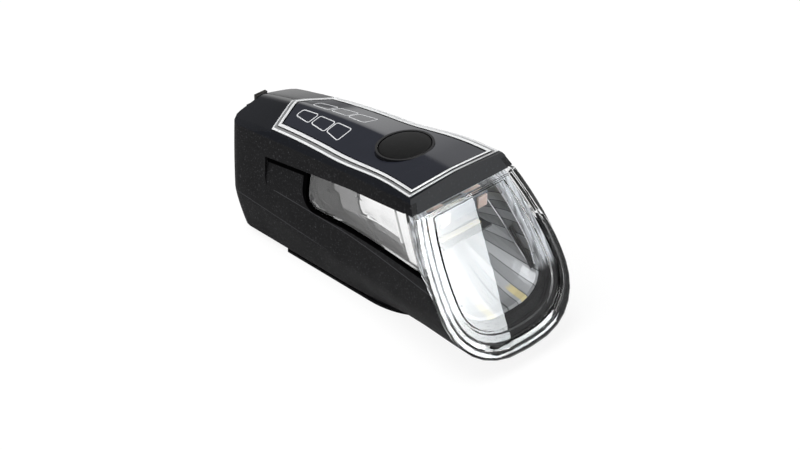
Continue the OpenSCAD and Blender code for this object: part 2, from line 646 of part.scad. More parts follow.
// Bright ring with a bead outside, a groove and a raised rim inside
module chrome_trim() color("#e6e8ea") {
    bed = -pocket_d + gap;
    profile = [[0, bed], [0, 0.14], [0.14, 0.34], [0.36, 0.42], [0.58, 0.34], [0.7, 0.06], [1.6, 0.02],
               [1.66, 0.4], [1.8, 0.55], [trim_t - 0.2, 0.55], [trim_t, 0.4], [trim_t, bed]];
    ring([for (p = profile) trim_loop(p[0], p[1])]);
}

module display_panel() color("#101116") difference() {
    slab(trim_grid(trim_t + panel_gap, panel_rise), trim_grid(trim_t + panel_gap, -pocket_d + contact));
    translate([button_x, 0, board_top])
        oval(cup_l + 2 * gap, cup_w + 2 * gap, ridge_h - board_top + over);
}

module button_cup() color("#141416") translate([button_x, 0, cup_low]) difference() {
    union() {
        oval(cup_l, cup_w, cup_top - cup_low);
        oval(cup_l + 2 * cup_flange, cup_w + 2 * cup_flange, flange_t);
    }
    translate([0, 0, cup_floor]) oval(button_l + 2 * play, button_w + 2 * play, cup_top);
    translate([0, 0, -over]) cylinder(r = stem_r + play, h = cup_floor + 2 * over);
}

// Crowned oval pad on a stem
module mode_button() color("#0e0e0f") translate([button_x, 0, 0]) {
    loop = function (s, z) [for (a = [0 : 6 : 354])
        [s * button_l / 2 * cos(a), s * button_w / 2 * sin(a), z]];
    shoulder = 1 - 2 * pad_edge / button_l;
    stack(concat([loop(1, pad_low)],
        [for (a = [0 : 30 : 90]) loop(lerp(shoulder, 1, cos(a)), cup_top - pad_edge * (1 - sin(a)))],
        [for (s = [0.86, 0.7, 0.5, 0.3, 0.12]) loop(s, cup_top + pad_crown * (1 - s * s))]));
    translate([0, 0, plunger_top]) cylinder(r = stem_r, h = pad_low + 1 - plunger_top);
}

module switch_plunger() color("#3a3a3a") translate([button_x, 0, plunger_top - plunger_up - plunger_in])
    cylinder(r = plunger_r, h = plunger_up + plunger_in);

module tact_switch() color("#c9c9c4") translate([button_x, 0, board_top]) difference() {
    box([-switch_w / 2, -switch_w / 2, 0], [switch_w / 2, switch_w / 2, switch_h]);
    translate([0, 0, switch_h - plunger_in - button_travel - play])
        cylinder(r = plunger_r + gap, h = switch_h);
}

module main_board() color("#1f5a3a")
    box([board_x, -board_w / 2, board_h], [board_end, board_w / 2, board_top]);

// Chips beside the marks and the button: distance along the board, distance from the middle, length, width
chips = [[9.5, 4, 5, 5], [9.5, -8, 4, 3], [44, 4, 6, 5], [44.5, -8, 5, 4], [50.5, -9, 2, 2.5]];
module board_parts() color("#222222") for (c = chips)
    translate([board_x + c[0], c[1], board_top]) cube([c[2], c[3], chip_h]);

module indicator_leds() color("#f4f0d8") both_sides() for (i = [0 : 2])
    translate([mark_x[i] - mark_led[0] / 2, mark_y[i] - mark_led[1] / 2, board_top]) cube(mark_led);

// Clear plate on two feet, with a post under each mark
module light_guide() color("#dfe7ee") {
    box([mark_x[0] - guide_rim, -guide_w / 2, guide_z],
        [mark_x[2] + guide_rim, guide_w / 2, guide_z + guide_t]);
    for (i = [0, 1]) let (x = (mark_x[i] + mark_x[i + 1] - guide_foot[0]) / 2)
        box([x, -guide_foot[1] / 2, board_top],
            [x + guide_foot[0], guide_foot[1] / 2, guide_z + guide_t / 2]);
    both_sides() for (i = [0 : 2]) let (top = roof_z(mark_x[i] - guide_r, mark_y[i] + guide_r) - pocket_d)
        translate([mark_x[i], mark_y[i], guide_z]) cylinder(r = guide_r, h = top - contact - guide_z);
}

module usb_socket() color("#c4c7ca")
    translate([pocket_x + backing_t + gap, -socket_w / 2, board_top]) difference() {
        cube([socket_l, socket_w, socket_h]);
        translate([-over, socket_t, socket_t])
            cube([socket_l, socket_w - 2 * socket_t, socket_h - 2 * socket_t]);
    }

// Rubber-lined flap on a pin, with a short plug and a finger tab
module usb_flap() color("#241c18") difference() {
    union() {
        box([flap_x, -flap_w / 2, pin_z], [flap_x + flap_t, flap_w / 2, flap_top]);
        across(pin_x, -flap_w / 2, pin_z, knuckle_r, flap_w);
        box([flap_x - tab_out, -tab_w / 2, flap_top - tab_root],
            [flap_x + tab_in, tab_w / 2, flap_top + tab_up]);
        box([pin_x, -socket_w / 2 + plug_gap, socket_z - socket_h / 2 + plug_gap],
            [pocket_x + plug_l, socket_w / 2 - plug_gap, socket_z + socket_h / 2 - plug_gap]);
    }
    across(pin_x, -flap_w, pin_z, pin_r + contact, 2 * flap_w);
}

module flap_pin() color("#b9bdc2") across(pin_x, -pin_half, pin_z, pin_r, 2 * pin_half);

module battery_cell() color("#3f6fb0") translate([cell_x, 0, cell_z]) rotate([0, 90, 0]) {
    cylinder(d = cell_d, h = cell_l - cap_h);
    cylinder(d = cap_d, h = cell_l);
}

module battery_cradle() color("#2d2f33") difference() {
    box([cell_x + cradle_ends[0], -cradle_w / 2, floor_z + contact],
        [cell_end - cradle_ends[1], cradle_w / 2, floor_z + cradle_h]);
    translate([cell_x - over, 0, cell_z]) rotate([0, 90, 0])
        cylinder(d = cell_d + gap, h = cell_l + 2 * over);
}

// Leads from the front end of the cell up to the underside of the board
module battery_leads() color("#b03028") both_sides() tube([
    [cell_end + contact, 4.2, cell_z],
    [cell_end + 0.9, 4.8, cell_z + 2],
    [cell_end + 1.1, 6.8, cell_z + 6],
    [cell_end - 1, 9.9, cell_z + 9.4],
    [bowl_x - 5, 10.6, board_h - 1.5],
    [bowl_x - 9, 10.4, board_h - 1],
    [button_x, board_w / 2 - 1, board_h - lead_r - contact]], lead_r);

// Leads from the board through the fins of the heat sink
module led_leads() color("#303030") both_sides() tube([
    [button_x + 1, 2 * fin_step, board_top + lead_r + gap],
    [bowl_x - sink_l - 1.5, 2 * fin_step, board_top + 1],
    [bowl_x - sink_l + 1, 2 * fin_step, board_top + 2],
    [bowl_x - fin_base - 0.5, 2 * fin_step, board_top + 3]], lead_r);

// Clear lens with a stepped rim band and cheeks that reach back over the sides
module front_lens() color("#eef4f8", 0.35) {
    edge = lens_half(0, function (z) joint_dx(z) - contact, lens_top(0));
    inset = lens_half(wall + gap, function (z) joint_dx(z) - contact, lens_top(wall));
    cheek = [for (p = edge) [p[0], min(p[1], side_y(p[0], p[2]) - max(0, recess_at(p[0], p[2]))), p[2]]];
    inner = [for (i = [0 : len(cheek) - 1]) let (p = inset[i])
        [p[0], p[2] < lens_wide_h ? p[1] : min(p[1], cheek[i][1] - wall), p[2]]];
    lines = [for (d = line_in) each
        [lens_loop(d - line_w, 0), lens_loop(d, line_d), lens_loop(d + line_w, 0)]];
    stack(concat(
        [lens_loop(wall + rim_t, lens_t), mirrored(inner), mirrored(cheek)],
        [lens_loop(0, rim_r[1]), lens_loop(rim_r[0] / 3, rim_r[1] / 3), lens_loop(rim_r[0], 0)],
        lines,
        [lens_loop(band_w - step_w, 0), lens_loop(band_w - step_w / 2, step_d)],
        [lens_loop(band_w + step_w / 2, step_d), lens_loop(band_w + step_w, 0)]));
}

module lens_gasket() color("#202022") ring([for (p = [[0, 0], [0, 1], [1, 1], [1, 0]])
    lens_loop(gasket_d[p[0]], lens_t + contact + p[1] * gasket_t)]);

module reflector_bezel() color("#0d0d0e") {
    near = lens_t + 2 * contact + gasket_t;
    ring([lens_loop(bezel_d, near), lens_loop(bezel_d, mouth_dx - contact),
          lens_loop(mouth_d + step_w, mouth_dx - contact), lens_loop(mouth_d, near)]);
}

// Bright bowl, open in front, with a slot for the heat sink's tongue
module reflector() color("#d5d8db") difference() {
    stack(concat([for (i = [bowl_rows : -1 : 0]) mirrored(bowl_row(i / bowl_rows, 0))],
                 [for (i = [0 : bowl_rows]) mirrored(bowl_row(i / bowl_rows, bowl_t))]));
    box([bowl_x - over, -tongue_w / 2 - play, tongue_top - tongue_t - play],
        [bowl_x + 2 * bowl_t, tongue_w / 2 + play, tongue_top + play]);
}

module heat_sink() color("#a9adb1") {
    difference() {
        box([bowl_x - sink_l, -sink_w / 2, fin_low], [bowl_x - contact, sink_w / 2, fin_top]);
        for (i = [-2 : 2]) box([bowl_x - sink_l - over, i * fin_step - fin_gap / 2, 0],
                               [bowl_x - fin_base, i * fin_step + fin_gap / 2, ridge_h]);
    }
    box([bowl_x - fin_base, -tongue_w / 2, tongue_top - tongue_t], [tongue_x, tongue_w / 2, tongue_top]);
}

module led_board() color("#e8e8e2")
    box([tongue_x, -lamp_board_w / 2, tongue_top - tongue_t - lamp_board_low],
        [tongue_x + lamp_board_t, lamp_board_w / 2, tongue_top]);

module led_emitter() color("#f2b9a0") both_sides()
    translate([tongue_x + lamp_board_t, lamp_y - lamp_w / 2, tongue_top - tongue_t + lamp_up])
        cube([lamp_t, lamp_w, lamp_w]);

// Pane that lies flush with the recess, up to the lens cheek
module side_window() color("#e9f0f4", 0.35) side_plate(0, 0, gap,
    function (x, z) recess_at(x, z) + gap,
    function (x, z) recess_at(x, z) + gap + window_t,
    function (z) lens_x(z) - joint_dx(z) - gap);
module side_window_left() side_window();
module side_window_right() mirror([0, 1, 0]) side_window();

// Bright tray behind the pane, in three terraces, its rim against the inside of the housing
terrace_x = [0, 10.5, 21.5];                 // rear edge of each terrace, from the window's rear edge
terrace_z = [0, 2.4, 4.4];                   // lower edge of each terrace, from the window's lower edge
terrace_d = [0.72, 0.86, 1];                 // depth of each terrace as a share of the tray's depth
module side_mirror() color("#c8ccd0") {
    depth = function (x) mirror_d * lerp(1, mirror_fade, unit(x / hood_x));
    end = function (z) lens_x(z) - joint_dx(z) - mirror_end;
    difference() {
        side_plate(mirror_rim, mirror_rim, -rim_t,
                   function (x, z) max(wall, recess_at(x, z) + gap + window_t) + gap,
                   function (x, z) depth(x) + mirror_t, end);
        for (i = [0 : 2]) side_plate(play - terrace_x[i], play - terrace_z[i], 0, function (x, z) -over,
            function (x, z) depth(x) * terrace_d[i], function (z) end(z) - mirror_t);
    }
}
module side_mirror_left() side_mirror();
module side_mirror_right() mirror([0, 1, 0]) side_mirror();

// Sliding foot with a rail groove in each flank
foot_nose = 8;                               // where the foot's nose starts to round
groove_z = [0.7, 1.5];                       // heights of the grooves' lower and upper faces
foot_chamfer = 1;
module mount_foot() color("#17181a") difference() {
    linear_extrude(foot_h - contact) polygon(concat(
        [[-foot_rear, foot_chamfer - foot_w / 2], [foot_chamfer - foot_rear, -foot_w / 2]],
        [for (a = [-90 : 6 : 90]) [foot_nose + (foot_front - foot_nose) * cos(a), foot_w / 2 * sin(a)]],
        [[foot_chamfer - foot_rear, foot_w / 2], [-foot_rear, foot_w / 2 - foot_chamfer]]));
    both_sides() {
        box([-foot_rear - over, foot_w / 2 - groove_d, groove_z[0]], [foot_front, foot_w, groove_z[1]]);
        for (x = screw_x) translate([x, screw_y, -over]) {
            cylinder(r = screw_r + gap, h = foot_h + 2 * over);
            cylinder(r = head_r + gap, h = head_in + head_h + contact + over);
        }
    }
}

module foot_screw() difference() {
    union() {
        cylinder(r = head_r, h = head_h);
        cylinder(r = screw_r, h = foot_h - head_in + screw_l);
    }
    translate([0, 0, -over]) cylinder(r = key_r, h = over + head_h / 2, $fn = 6);
}
module foot_screws() color("#8d9196")
    both_sides() for (x = screw_x) translate([x, screw_y, head_in]) foot_screw();

lower_housing();
top_cover();
cover_seal();
chrome_trim();
display_panel();
button_cup();
mode_button();
switch_plunger();
tact_switch();
main_board();
board_parts();
indicator_leds();
light_guide();
usb_socket();
usb_flap();
flap_pin();
battery_cell();
battery_cradle();
battery_leads();
front_lens();
lens_gasket();
reflector_bezel();
reflector();
heat_sink();
led_board();
led_emitter();
led_leads();
side_window_left();
side_window_right();
side_mirror_left();
side_mirror_right();
mount_foot();
foot_screws();
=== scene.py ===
import json
from math import hypot, radians, tan

import bpy
from bpy.props import FloatProperty, FloatVectorProperty, PointerProperty
from bpy.types import Operator, Panel, PropertyGroup
from mathutils import Matrix, Vector

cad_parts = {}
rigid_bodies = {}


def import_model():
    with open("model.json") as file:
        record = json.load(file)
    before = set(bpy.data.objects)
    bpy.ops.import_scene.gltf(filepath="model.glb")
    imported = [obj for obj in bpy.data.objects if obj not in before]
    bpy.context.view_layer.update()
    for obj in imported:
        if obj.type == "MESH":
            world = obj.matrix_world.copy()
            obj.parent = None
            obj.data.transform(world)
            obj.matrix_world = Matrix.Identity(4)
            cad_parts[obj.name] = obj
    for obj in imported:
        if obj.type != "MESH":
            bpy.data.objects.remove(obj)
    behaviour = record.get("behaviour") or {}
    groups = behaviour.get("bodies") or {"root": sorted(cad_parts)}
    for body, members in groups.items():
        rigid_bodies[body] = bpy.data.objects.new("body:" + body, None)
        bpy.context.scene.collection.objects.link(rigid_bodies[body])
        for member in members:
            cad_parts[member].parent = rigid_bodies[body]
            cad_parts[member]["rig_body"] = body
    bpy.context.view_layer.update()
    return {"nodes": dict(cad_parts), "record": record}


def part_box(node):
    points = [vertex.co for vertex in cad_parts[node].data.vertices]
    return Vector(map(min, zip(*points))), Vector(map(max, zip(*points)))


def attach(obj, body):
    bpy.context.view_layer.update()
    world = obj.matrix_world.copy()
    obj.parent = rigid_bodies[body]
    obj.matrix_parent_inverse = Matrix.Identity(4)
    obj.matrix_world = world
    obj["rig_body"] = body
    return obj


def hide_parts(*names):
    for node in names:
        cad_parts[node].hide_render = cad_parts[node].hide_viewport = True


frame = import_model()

bl_info = {
    "name": "Bike headlight",
    "version": (1, 0, 0),
    "blender": (4, 5, 0),
    "location": "View3D > Sidebar > Headlight",
    "description": "Dresses the packed headlight with its finishes, printed marks and studio",
    "category": "Object",
}

MM = 0.001
NODES = frame["nodes"]
COLOUR = {m["slot"]: tuple(m["base_color"][:3]) for m in frame["record"]["materials"]}


# Shader sockets and finishes

class Socket:
    """An output of a shader node; sums and products with it add Math nodes."""

    def __init__(self, finish, output):
        self.finish = finish
        self.output = output

    def math(self, operation, first, second=0.0):
        return self.finish.node("Math", {"operation": operation}, {0: first, 1: second})

    def __add__(self, other):
        return self.math("ADD", self, other)

    def __sub__(self, other):
        return self.math("SUBTRACT", self, other)

    def __rsub__(self, other):
        return self.math("SUBTRACT", other, self)

    def __mul__(self, other):
        return self.math("MULTIPLY", self, other)

    __radd__ = __add__
    __rmul__ = __mul__

    def above(self, low, high):
        """Mask that rises smoothly from 0 at low to 1 at high."""
        return self.finish.node("MapRange", {"interpolation_type": "SMOOTHSTEP", "clamp": True},
                                {"Value": self, "From Min": low, "From Max": high})


class Finish:
    """A procedural material or world, built node by node on the piece's own coordinates."""

    def __init__(self, name, store="materials"):
        self.material = getattr(bpy.data, store).new(name)
        self.material.use_nodes = True
        self.tree = self.material.node_tree
        self.tree.nodes.clear()
        self.place = self.node("TexCoord", out="Object")

    def node(self, kind, settings=None, links=None, out=0):
        """Adds a node of a type, sets it up, fills its sockets and gives back one output."""
        node = self.tree.nodes.new("ShaderNode" + kind)
        for key, value in (settings or {}).items():
            setattr(node, key, value)
        for key, value in (links or {}).items():
            if isinstance(value, Socket):
                self.tree.links.new(value.output, node.inputs[key])
            else:
                node.inputs[key].default_value = value
        return Socket(self, node.outputs[out])

    def noise(self, grain, detail=2.0, rough=0.5, stretch=(1.0, 1.0, 1.0)):
        """Noise whose grains are so many metres across, stretched along the axes."""
        spot = self.node("Mapping", None, {"Vector": self.place, "Scale": [1 / s for s in stretch]})
        return self.node("TexNoise", None, {"Vector": spot, "Scale": 1 / grain, "Detail": detail,
                                            "Roughness": rough})

    def blend(self, share, first, second):
        """Colour between two colours."""
        ends = {6: first if isinstance(first, Socket) else (*first, 1.0),
                7: second if isinstance(second, Socket) else (*second, 1.0)}
        return self.node("Mix", {"data_type": "RGBA"}, {0: share, **ends}, out=2)

    def bump(self, height, depth):
        """Normals of a relief so many metres deep."""
        return self.node("Bump", None, {"Height": height, "Distance": depth, "Strength": 1.0})

    def side_strip(self, strip):
        """Mask of a strip along the side of the body, which fades in and out along the beam."""
        x, z = (self.node("SeparateXYZ", None, {0: self.place}, out=axis) for axis in "XZ")
        up = z - x * strip["rise"] - strip["height"] * MM
        low, high = (edge * MM for edge in strip["edges"])
        soft = strip["soft"] * MM
        starts, ends = ([edge * MM for edge in strip[word]] for word in ("from", "to"))
        return ((up.above(low - soft, low) - up.above(high, high + soft))
                * (x.above(*starts) - x.above(*ends)))

    def window_slot_shade(self, slot_shade):
        """Mask of painted shade around a side window's open slot, between two ellipses at its lower rear
        corner.
        """
        x, z = (self.node("SeparateXYZ", None, {0: self.place}, out=axis) for axis in "XZ")
        wide, high = (size * MM for size in WINDOW_CORNER)
        up = z - (WINDOW_LOW - WINDOW_REAR * WINDOW_RISE) * MM - x * WINDOW_RISE
        back = x.math("MAXIMUM", 1 + (WINDOW_REAR * MM - x) * (1 / wide))
        below = x.math("MAXIMUM", 1 - up * (1 / high))
        edge = 1 - slot_shade["soft"]
        inner, outer = ((back * back * along ** -2 + below * below * down ** -2).above(edge, 1.0)
                        for along, down in slot_shade["ellipses"])
        top = (z - x * slot_shade["rise"] - slot_shade["height"] * MM).above(-slot_shade["soft"] * MM, 0.0)
        front = x.above(*(place * MM for place in slot_shade["fades"]))
        return inner * (1 - outer) * (1 - top) * (1 - front)

    def shader(self, **sockets):
        """Surface shader; underscores stand for spaces."""
        values = {key.replace("_", " "): value for key, value in sockets.items()}
        return self.node("BsdfPrincipled", None, values)

    def surface(self, **sockets):
        """Closes the material with a surface shader."""
        return self.close(self.shader(**sockets))

    def close(self, shader, kind="OutputMaterial"):
        output = self.tree.nodes.new("ShaderNode" + kind)
        self.tree.links.new(shader.output, output.inputs["Surface"])
        return self.material


def scaled(colour, factor):
    """A darker or lighter tone of a colour."""
    return tuple(min(1.0, c * factor) for c in colour)


def grained_plastic(name, colour, grain, depth, rough, crease_highlights, shade_strips, slot_shade):
    """Black moulding with a fine spark-eroded grain, with painted highlights along its creases and painted
    black shade under the band and around the side window.
    """
    f = Finish(name)
    fine = f.noise(grain, 3.0, 0.6)
    patch = f.noise(9 * MM)
    specks = fine.above(0.56, 0.74)
    tone = f.blend(specks, scaled(colour, 0.75), scaled(colour, 5.0))
    # Painted highlights: lighter lines along the recess's lower edge and along the low crease.
    for strip in crease_highlights:
        tone = f.blend(f.side_strip(strip), tone, scaled(colour, strip["tone"]))
    shader = f.shader(Base_Color=tone, Roughness=(patch - 0.5) * 0.18 + rough,
                      Specular_IOR_Level=0.05, Normal=f.bump(fine, depth))
    # Painted shade: a black diffuse is mixed in under the band and around the side window's slot.
    black = f.node("BsdfDiffuse", None, {"Color": (*scaled(colour, 0.1), 1.0)})
    for mask in (*map(f.side_strip, shade_strips), f.window_slot_shade(slot_shade)):
        shader = f.node("MixShader", None, {0: mask, 1: shader, 2: black})
    return f.close(shader)


def gloss_plastic(name, colour, rough):
    """Lacquered moulding with a faint orange peel and hair-fine handling marks."""
    f = Finish(name)
    peel = f.noise(1.6 * MM, 1.0)
    patch = f.noise(14 * MM)
    hairs = f.noise(0.5 * MM, 2.0, 0.5, (1.0, 0.05, 0.3)).above(0.66, 0.78)
    tone = f.blend(patch, scaled(colour, 0.8), scaled(colour, 1.25))
    return f.surface(Base_Color=tone, Roughness=hairs * 0.08 + patch * 0.04 + rough,
                     IOR=1.5, Normal=f.bump(peel, 0.0015 * MM))


def bright_metal(name, colour, rough):
    """Plated or polished metal with faint polishing marks."""
    f = Finish(name)
    patch = f.noise(6 * MM)
    hairs = f.noise(0.35 * MM, 2.0, 0.5, (6.0, 1.0, 1.0)).above(0.6, 0.8)
    tone = f.blend(patch, scaled(colour, 0.94), scaled(colour, 1.04))
    return f.surface(Base_Color=tone, Metallic=1.0, Roughness=hairs * 0.05 + patch * 0.02 + rough)


def painted_fan_mirror(name, colour, rough, fan):
    """Grey mirror whose facets spread from an axis along the beam, painted lighter and darker in turn with
    dark seams, and a painted gold reflection in one of them.
    """
    f = Finish(name)
    x, y, z = (f.node("SeparateXYZ", None, {0: f.place}, out=axis) for axis in "XYZ")
    angle = x.math("ARCTAN2", y.math("ABSOLUTE", y), fan["height"] * MM - z)
    turn = angle * (1 / fan["step"])
    share = turn.math("FRACT", turn)
    half = turn * 0.5
    painted_light_facets = half.math("FRACT", half).above(0.49, 0.51)
    painted_seam_shade = 1 - share.above(0.0, 0.12)
    painted_gleam = (angle.above(*fan["gleam_from"]) - angle.above(*fan["gleam_to"])) * x.above(*fan["gleam_x"])
    # Painted reflection and shade: facets lighter and darker in turn, dark seams between them, and a gold
    # gleam.
    tone = f.blend(painted_light_facets, scaled(colour, 0.7), scaled(colour, 1.1))
    tone = f.blend(painted_seam_shade, tone, scaled(colour, 0.12))
    tone = f.blend(painted_gleam, tone, fan["painted_gleam"])
    patch = f.noise(5 * MM)
    return f.surface(Base_Color=tone, Metallic=1.0, Roughness=patch * 0.06 + rough)


def silver_lacquer(name, colour, rough):
    """Bright lacquer with metal flakes, whose pale tone paints the bright reflections of a plated moulding.
    """
    f = Finish(name)
    flakes = f.noise(0.12 * MM, 2.0)
    patch = f.noise(6 * MM)
    tone = f.blend(patch, scaled(colour, 0.95), scaled(colour, 1.05))
    return f.surface(Base_Color=tone, Metallic=flakes * 0.3, Roughness=patch * 0.05 + rough, IOR=1.5)


def brushed_metal(name, colour):
    """Extruded or stamped metal with lines along the beam."""
    f = Finish(name)
    lines = f.noise(0.25 * MM, 3.0, 0.6, (30.0, 1.0, 1.0))
    tone = f.blend(lines, scaled(colour, 0.8), scaled(colour, 1.15))
    return f.surface(Base_Color=tone, Metallic=1.0, Roughness=lines * 0.2 + 0.22,
                     Normal=f.bump(lines, 0.01 * MM))


def soft_rubber(name, colour, rough=0.6, gloss=0.35):
    """Matt rubber with a fine skin and dust in its pores."""
    f = Finish(name)
    pores = f.noise(0.22 * MM, 3.0, 0.65)
    dust = f.noise(0.5 * MM, 2.0).above(0.6, 0.76)
    tone = f.blend(dust, colour, scaled(colour, 3.2))
    return f.surface(Base_Color=tone, Roughness=dust * 0.1 + rough, Specular_IOR_Level=gloss,
                     Normal=f.bump(pores, 0.03 * MM))


def clear_plastic(name, colour, streaks):
    """Clear moulding with faint flow lines."""
    f = Finish(name)
    flow = f.noise(2.2 * MM, 1.0, 0.4, (1.0, 1.0, 4.0))
    haze = f.noise(3 * MM).above(0.6, 0.9)
    return f.surface(Base_Color=f.blend(haze, colour, scaled(colour, 0.98)), Roughness=0.0,
                     IOR=1.5, Transmission_Weight=1.0, Normal=f.bump(flow, streaks))


def fading_plastic(name, dark, light, rough, heights):
    """Moulding that is black below and pale above, with lines along it where it is pale."""
    f = Finish(name)
    z = f.node("SeparateXYZ", None, {0: f.place}, out="Z")
    pale = z.above(*(height * MM for height in heights))
    lines = f.noise(0.8 * MM, 2.0, 0.5, (12.0, 1.0, 12.0)).above(0.38, 0.6)
    tone = f.blend(pale, dark, f.blend(lines, scaled(light, 0.3), light))
    return f.surface(Base_Color=tone, Roughness=lines * 0.1 + rough, Specular_IOR_Level=0.12)


def satin_plastic(name, colour, rough=0.4):
    """Plain moulding for pieces inside, with a little mottling."""
    f = Finish(name)
    mottle = f.noise(1.3 * MM, 3.0)
    fine = f.noise(0.3 * MM, 2.0)
    tone = f.blend(mottle, scaled(colour, 0.8), scaled(colour, 1.25))
    return f.surface(Base_Color=tone, Roughness=mottle * 0.15 + rough, Normal=f.bump(fine, 0.006 * MM))


def circuit_board(name, colour):
    """Solder mask over copper tracks that run along and across the board."""
    f = Finish(name)
    tracks = f.node("TexBrick", {"offset": 0.35}, {"Vector": f.place, "Scale": 260.0, "Mortar Size": 0.012},
                    out="Fac")
    mottle = f.noise(2 * MM)
    tone = f.blend(tracks, scaled(colour, 0.9), (0.05, 0.22, 0.10))
    return f.surface(Base_Color=tone, Roughness=mottle * 0.15 + 0.3, Normal=f.bump(tracks, 0.02 * MM))


def printed_ink(name, colour):
    """Screen-printed ink, thin enough to show the gloss under it in places."""
    f = Finish(name)
    thin = f.noise(0.4 * MM, 3.0).above(0.6, 0.85)
    tone = f.blend(thin, colour, scaled(colour, 0.82))
    return f.surface(Base_Color=tone, Roughness=thin * 0.2 + 0.35)


def lamp_chip(name, colour):
    """Silicone-covered chip, a little mottled."""
    f = Finish(name)
    mottle = f.noise(0.9 * MM, 2.0)
    tone = f.blend(mottle, colour, scaled(colour, 1.25))
    return f.surface(Base_Color=tone, Roughness=mottle * 0.1 + 0.3, Subsurface_Weight=0.2)


# Work on pieces

MERGE = 0.0005 * MM
SHARP = radians(50)


def deselect():
    bpy.ops.object.select_all(action="DESELECT")


def take(piece):
    """Makes a piece the only selected and active object."""
    deselect()
    piece.select_set(True)
    bpy.context.view_layer.objects.active = piece


def settle(piece, body):
    """Rides a finished piece on its body."""
    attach(piece, body)
    return piece


def paint(piece, *materials):
    piece.data.materials.clear()
    for material in materials:
        piece.data.materials.append(material)


def merged_copy(node, name):
    """A copy of a CAD node's mesh with plain normals and merged corners, left in edit mode."""
    piece = bpy.data.objects.new(name, NODES[node].data.copy())
    bpy.context.scene.collection.objects.link(piece)
    take(piece)
    bpy.ops.mesh.customdata_custom_splitnormals_clear()
    bpy.ops.object.mode_set(mode="EDIT")
    bpy.ops.mesh.select_all(action="SELECT")
    bpy.ops.mesh.remove_doubles(threshold=MERGE)
    return piece


def soften(piece, width):
    """Rounds the sharp edges of the active piece."""
    edge = piece.modifiers.new("soft_edge", "BEVEL")
    edge.width = width
    edge.segments = 2
    edge.limit_method = "ANGLE"
    edge.angle_limit = SHARP
    bpy.ops.object.modifier_apply(modifier=edge.name)


def move_corners(piece, wanted, away):
    """Moves the corners of the active piece that a test picks."""
    bpy.ops.object.mode_set(mode="EDIT")
    bpy.ops.mesh.select_all(action="DESELECT")
    bpy.ops.object.mode_set(mode="OBJECT")
    for corner in piece.data.vertices:
        corner.select = wanted(corner)
    bpy.ops.object.mode_set(mode="EDIT")
    bpy.ops.transform.translate(value=away)
    bpy.ops.object.mode_set(mode="OBJECT")


def dress(node, name, material, angle=30.0, bevel=0.0):
    """A copy of a CAD node stands for it, with merged corners, soft edges and smooth shading."""
    piece = merged_copy(node, name)
    if bevel:
        bpy.ops.mesh.tris_convert_to_quads()
    bpy.ops.object.mode_set(mode="OBJECT")
    if bevel:
        soften(piece, bevel)
    if angle:
        bpy.ops.object.shade_smooth_by_angle(angle=radians(angle))
    else:
        bpy.ops.object.shade_flat()
    paint(piece, material)
    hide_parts(node)
    return settle(piece, NODES[node]["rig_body"])


def finish_node(node, material):
    """A CAD node that stays gets a finish in its own material slots."""
    piece = NODES[node]
    if not piece.material_slots:
        piece.data.materials.append(material)
    for place in piece.material_slots:
        place.material = material


# Roof and lens, in millimetres

RIDGE_HEIGHT = 46.5
RIDGE_FALL = 8.1
RIDGE_FRONT = 15.0
RIDGE_REAR = -49.0
RIDGE_SOFT = 1.5
ROOF_SLOPE = 0.25
FLAT_FROM = -5.0
FLAT_RUN = 27.0
FLAT_SHARE = 0.2
LENS_TILT = radians(33.5)
BEAM = Vector((1.0, 0.0, tan(LENS_TILT))).normalized()
ROOF_LIKE = 0.985


def roof_slope(x):
    """Sideways slope of the roof at a distance along the beam."""
    share = min(1.0, max(0.0, (x - FLAT_FROM) / FLAT_RUN))
    return ROOF_SLOPE * (1 - (1 - FLAT_SHARE) * share * share * (3 - 2 * share))


def roof_fall(x):
    return max(0.0, RIDGE_FRONT - x) / (RIDGE_FRONT - RIDGE_REAR)


def above_roof(spot):
    """Height of a place above the roof, in millimetres."""
    x, y, z = spot / MM
    return z - RIDGE_HEIGHT + RIDGE_FALL * roof_fall(x) ** 2 + roof_slope(x) * hypot(y, RIDGE_SOFT)


def even_roof(piece, ridge):
    """Shades the roof side of a piece as one even sweep with a soft ridge."""
    mesh = piece.data
    normals = [Vector()] * len(mesh.loops)
    for face in mesh.polygons:
        for corner in face.loop_indices:
            x, y, _ = mesh.vertices[mesh.loops[corner].vertex_index].co / MM
            along = -2 * RIDGE_FALL * roof_fall(x) / (RIDGE_FRONT - RIDGE_REAR)
            sweep = Vector((along, roof_slope(x) * y / hypot(y, ridge), 1.0)).normalized()
            if face.normal.dot(sweep) > ROOF_LIKE:
                normals[corner] = sweep
    mesh.normals_split_custom_set(normals)


# Sizes and colours a user would change

def length(name, text, value):
    return FloatProperty(name=name, description=text, default=value, unit="LENGTH", precision=5)


def swatch(name, text, value):
    return FloatVectorProperty(name=name, description=text, default=value, size=3, subtype="COLOR",
                               min=0.0, max=1.0)


class HeadlightSizes(PropertyGroup):
    """Sizes of the details that are added to the CAD model"""
    grain: length("Grain", "Size of the grain on the matt body", 0.5 * MM)
    grain_depth: length("Grain depth", "Depth of the grain on the matt body", 0.05 * MM)
    mark_line: length("Mark line", "Width of the printed outlines", 0.3 * MM)
    mark_round: length("Mark corner", "Corner radius of the printed outlines", 0.95 * MM)
    mark_rise: length("Ink thickness", "Height of the printed outlines above the panel", 0.05 * MM)
    soft_edge: length("Soft edge", "Bevel on small moulded edges", 0.12 * MM)


class HeadlightColours(PropertyGroup):
    """Colours of the finishes"""
    body: swatch("Body", "Matt black body and foot", COLOUR["body_plastic"])
    cover: swatch("Cover", "Gloss roof", COLOUR["cover_gloss"])
    panel: swatch("Panel", "Gloss panel inside the trim", (0.022, 0.024, 0.033))
    # The trim's pale tone is a painted reflection of its chrome.
    trim: swatch("Trim", "Bright trim", (0.92, 0.93, 0.94))
    button: swatch("Button", "Rubber button", COLOUR["button_rubber"])
    ink: swatch("Ink", "Printed outlines", (0.82, 0.83, 0.85))
    bowl: swatch("Bowl", "Grey faceted bowl behind the lens", (0.54, 0.55, 0.56))


